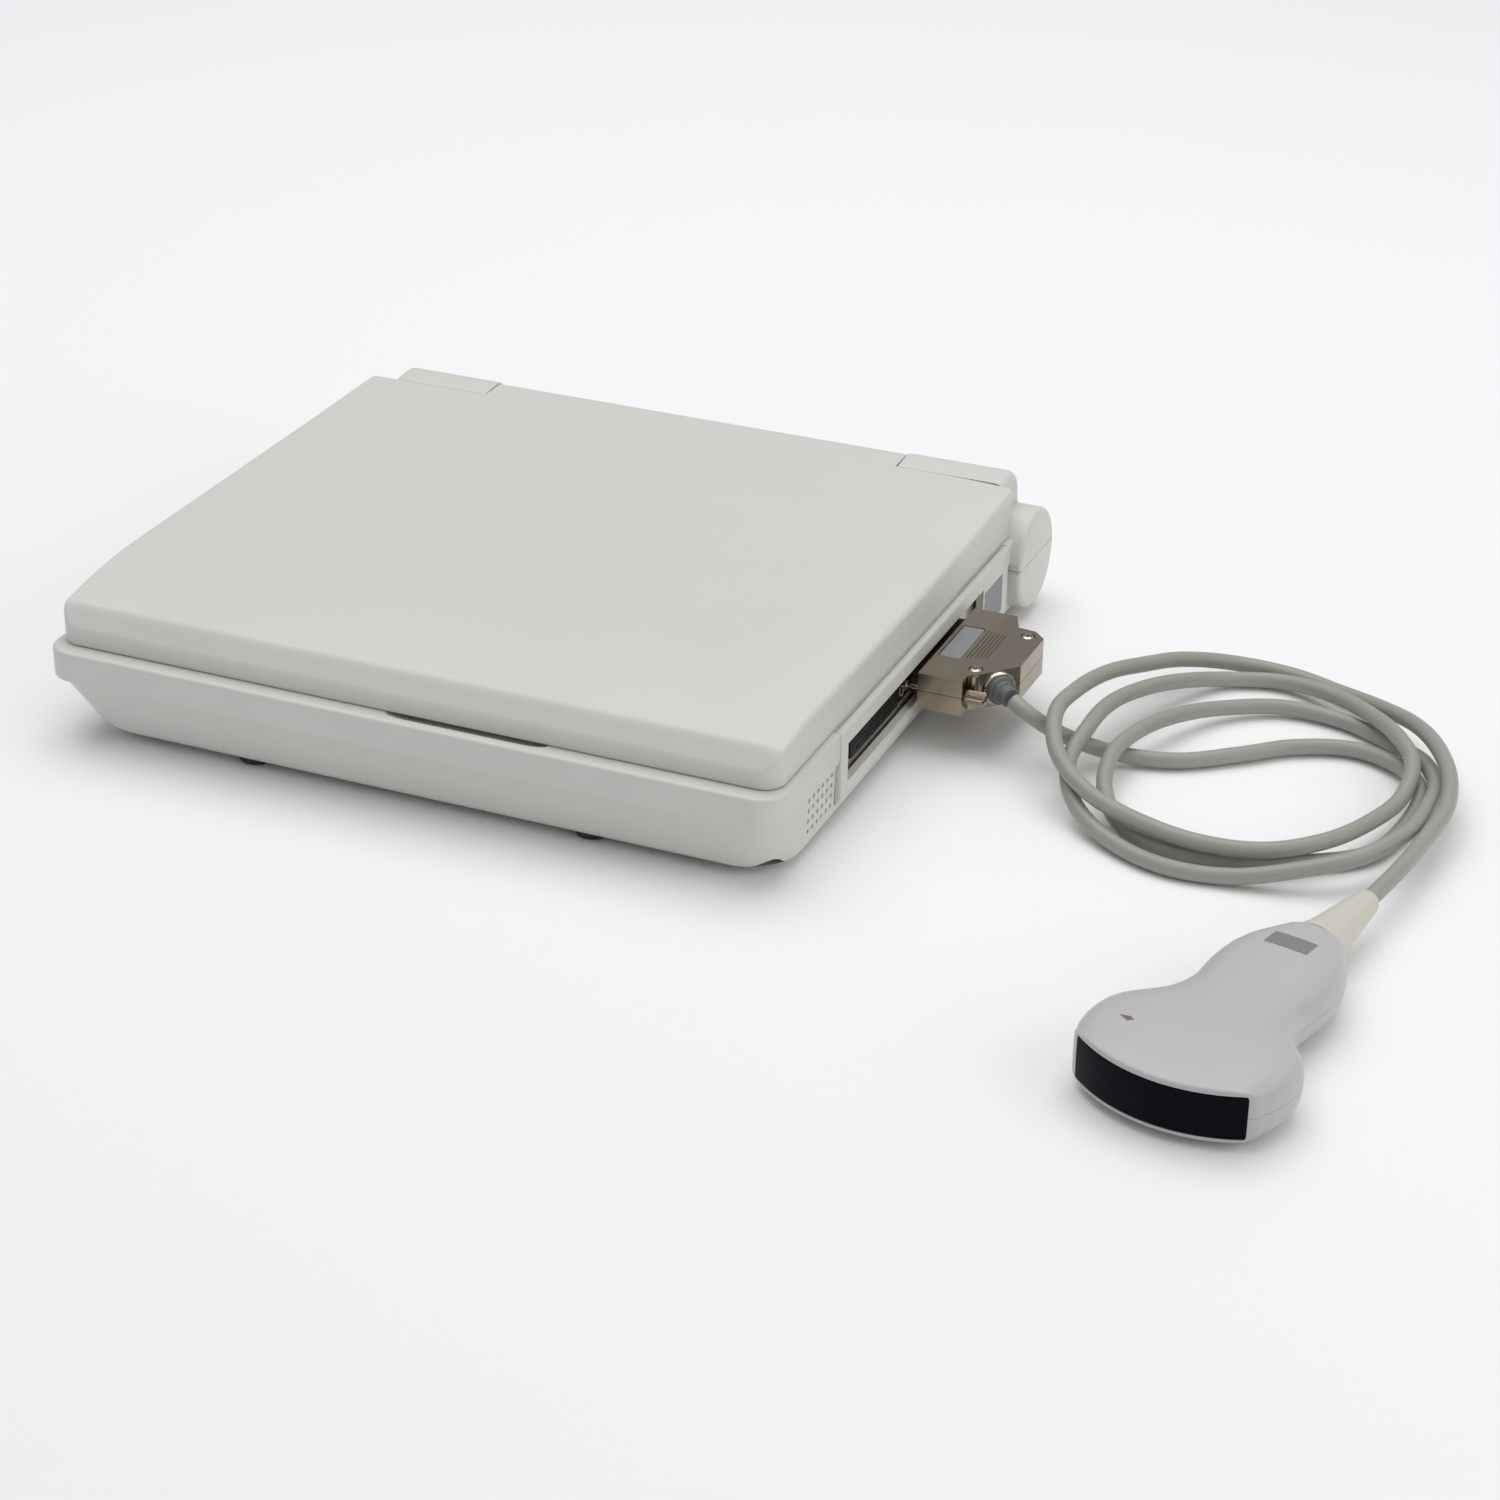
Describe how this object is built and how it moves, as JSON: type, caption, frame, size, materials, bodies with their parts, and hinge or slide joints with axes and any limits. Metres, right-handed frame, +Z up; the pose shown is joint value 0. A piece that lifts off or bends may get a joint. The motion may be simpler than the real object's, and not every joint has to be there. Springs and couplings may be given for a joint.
{
  "type": "portable ultrasound scanner",
  "caption": "Laptop-style ultrasound scanner with a folding screen lid, round rear bosses, side probe sockets and a plugged-in convex probe on a loosely looped cable.",
  "frame": {"origin": "on the table surface under the middle of the console's flat underside", "axes": "+Z up, +Y from the user towards the hinge, +X towards the probe sockets"},
  "size_m": [0.5619, 0.4115, 0.0652],
  "materials": {
    "case_white": "fine moulded texture",
    "deck_grey": "printed film",
    "rubber_foot": "matte",
    "sheet_steel": "zinc-plated sheet",
    "dark_plastic": "matte",
    "label_grey": "satin, blank",
    "board_green": "solder-masked circuit board",
    "key_grey": "silicone",
    "button_grey": "satin",
    "freeze_green": "satin",
    "ball_blue": "polished",
    "screen_dark": "anti-glare screen",
    "nickel": "nickel-plated die casting, semi-gloss",
    "grommet_grey": "matte",
    "cable_grey": "smooth cable sheath",
    "probe_grey": "smooth moulding",
    "lens_navy": "acoustic lens, satin",
    "boot_cream": "soft moulding"
  },
  "bodies": {
    "console": {"bottom_case": "case_white", "top_case": "case_white", "foot_front_left": "rubber_foot", "foot_front_right": "rubber_foot", "foot_rear_left": "rubber_foot", "foot_rear_right": "rubber_foot", "port_frame": "case_white", "port_shield": "sheet_steel", "probe_socket_front": "dark_plastic", "probe_socket_rear": "dark_plastic", "jack_nut_front_a": "sheet_steel", "jack_nut_front_b": "sheet_steel", "jack_nut_rear_a": "sheet_steel", "jack_nut_rear_b": "sheet_steel", "rating_plate": "label_grey", "speaker": "dark_plastic", "rear_io_plate": "dark_plastic", "dc_inlet": "dark_plastic", "video_jack": "sheet_steel", "usb_port": "sheet_steel", "main_board": "board_green", "beamformer_board": "board_green", "battery_pack": "dark_plastic", "battery_door": "case_white", "fan_housing": "dark_plastic", "control_overlay": "deck_grey", "key_mat": "key_grey", "trackball_ring": "dark_plastic", "trackball_housing": "dark_plastic"},
    "lid": {"lid_cover": "case_white", "lid_bezel": "deck_grey", "lcd_panel": "screen_dark", "inverter_board": "board_green", "hinge_arm_left": "sheet_steel", "hinge_arm_right": "sheet_steel"},
    "plug": {"plug_hood_upper": "nickel", "plug_hood_lower": "nickel", "plug_connector": "sheet_steel", "plug_label": "label_grey", "hood_screw_front": "sheet_steel", "hood_screw_rear": "sheet_steel", "plug_grommet": "grommet_grey", "probe_cable": "cable_grey", "probe_shell_upper": "probe_grey", "probe_shell_lower": "probe_grey", "probe_lens": "lens_navy", "probe_array": "dark_plastic", "probe_boot": "boot_cream"},
    "thumbscrew_front": {"thumbscrew_front": "sheet_steel"},
    "thumbscrew_rear": {"thumbscrew_rear": "sheet_steel"},
    "freeze_key": {"freeze_key": "freeze_green"},
    "select_key_left": {"select_key_left": "button_grey"},
    "select_key_right": {"select_key_right": "button_grey"},
    "power_button": {"power_button": "button_grey"},
    "trackball": {"trackball": "ball_blue"},
    "gain_knob": {"gain_knob": "button_grey"},
    "power_rocker": {"power_rocker": "dark_plastic"},
    "fan_rotor": {"fan_rotor": "dark_plastic"}
  },
  "joints": [
    {"name": "lid_hinge", "type": "hinge", "parent": "console", "child": "lid", "pos_m": [0, 0.135, 0.055], "axis": [-1, 0, 0], "range_deg": [0, 125]},
    {"name": "plug_pull", "type": "slide", "parent": "console", "child": "plug", "axis": [1, 0, 0], "range_m": [0, 0.025]},
    {"name": "thumbscrew_front_turn", "type": "hinge", "parent": "plug", "child": "thumbscrew_front", "pos_m": [0.19, -0.01125, 0.027], "axis": [1, 0, 0], "continuous": true},
    {"name": "thumbscrew_rear_turn", "type": "hinge", "parent": "plug", "child": "thumbscrew_rear", "pos_m": [0.19, 0.05225, 0.027], "axis": [1, 0, 0], "continuous": true},
    {"name": "freeze_press", "type": "slide", "parent": "console", "child": "freeze_key", "axis": [0, 0, -1], "range_m": [0, 0.0015], "stiffness_N_per_m": 300},
    {"name": "select_left_press", "type": "slide", "parent": "console", "child": "select_key_left", "axis": [0, 0, -1], "range_m": [0, 0.0015], "stiffness_N_per_m": 300},
    {"name": "select_right_press", "type": "slide", "parent": "console", "child": "select_key_right", "axis": [0, 0, -1], "range_m": [0, 0.0015], "stiffness_N_per_m": 300},
    {"name": "power_press", "type": "slide", "parent": "console", "child": "power_button", "axis": [0, 0, -1], "range_m": [0, 0.0015], "stiffness_N_per_m": 300},
    {"name": "trackball_roll", "type": "hinge", "parent": "console", "child": "trackball", "pos_m": [0.02, -0.084, 0.032], "axis": [1, 0, 0], "continuous": true},
    {"name": "gain_turn", "type": "hinge", "parent": "console", "child": "gain_knob", "pos_m": [0.115, -0.084, 0.04], "axis": [0, 0, 1], "continuous": true},
    {"name": "power_rock", "type": "hinge", "parent": "console", "child": "power_rocker", "pos_m": [-0.032, 0.1448, 0.027], "axis": [1, 0, 0], "range_deg": [0, 8]},
    {"name": "fan_spin", "type": "hinge", "parent": "console", "child": "fan_rotor", "pos_m": [-0.141, 0.05, 0.0215], "axis": [1, 0, 0], "continuous": true}
  ]
}
